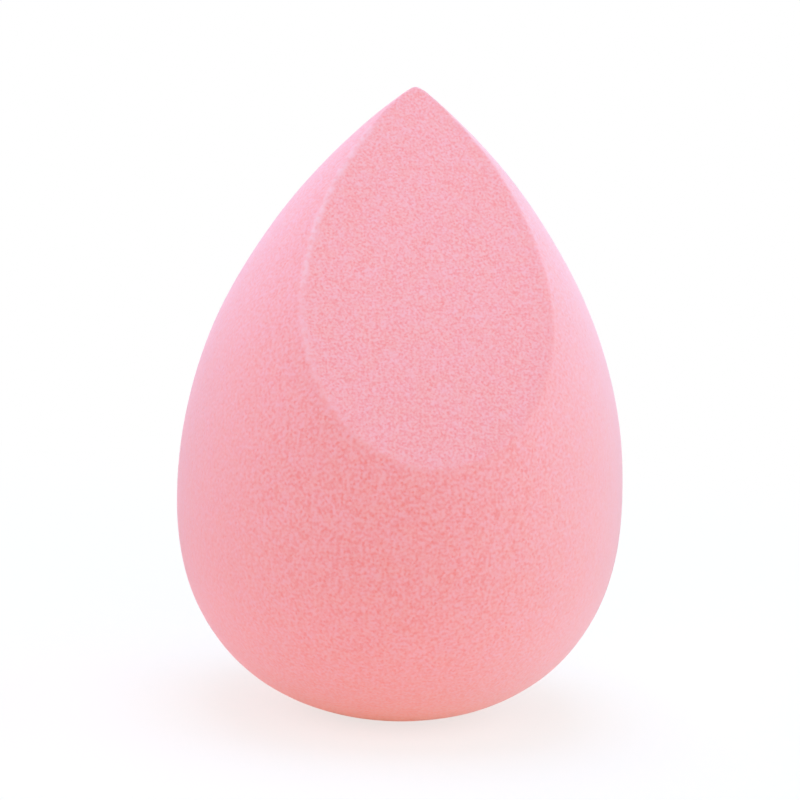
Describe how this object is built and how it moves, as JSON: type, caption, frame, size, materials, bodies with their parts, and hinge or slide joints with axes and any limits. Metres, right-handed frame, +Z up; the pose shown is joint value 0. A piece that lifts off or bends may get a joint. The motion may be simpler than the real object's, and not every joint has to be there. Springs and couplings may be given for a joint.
{
  "type": "makeup sponge",
  "caption": "Soft foam makeup sponge: a pointed egg with a rounded bottom and a flat slanted cut face for blending, standing on a small flat foot.",
  "frame": {"origin": "centre of the flat foot, on the body's axis, at the level on which the sponge stands", "axes": "+Z up along the axis of the body towards its point; the slanted cut faces -Y and up; +X to the right when looking at the cut"},
  "size_m": [0.0426, 0.0426, 0.0598],
  "materials": {
    "foam": "matte"
  },
  "bodies": {
    "root": {"foam_body": "foam"}
  },
  "joints": []
}
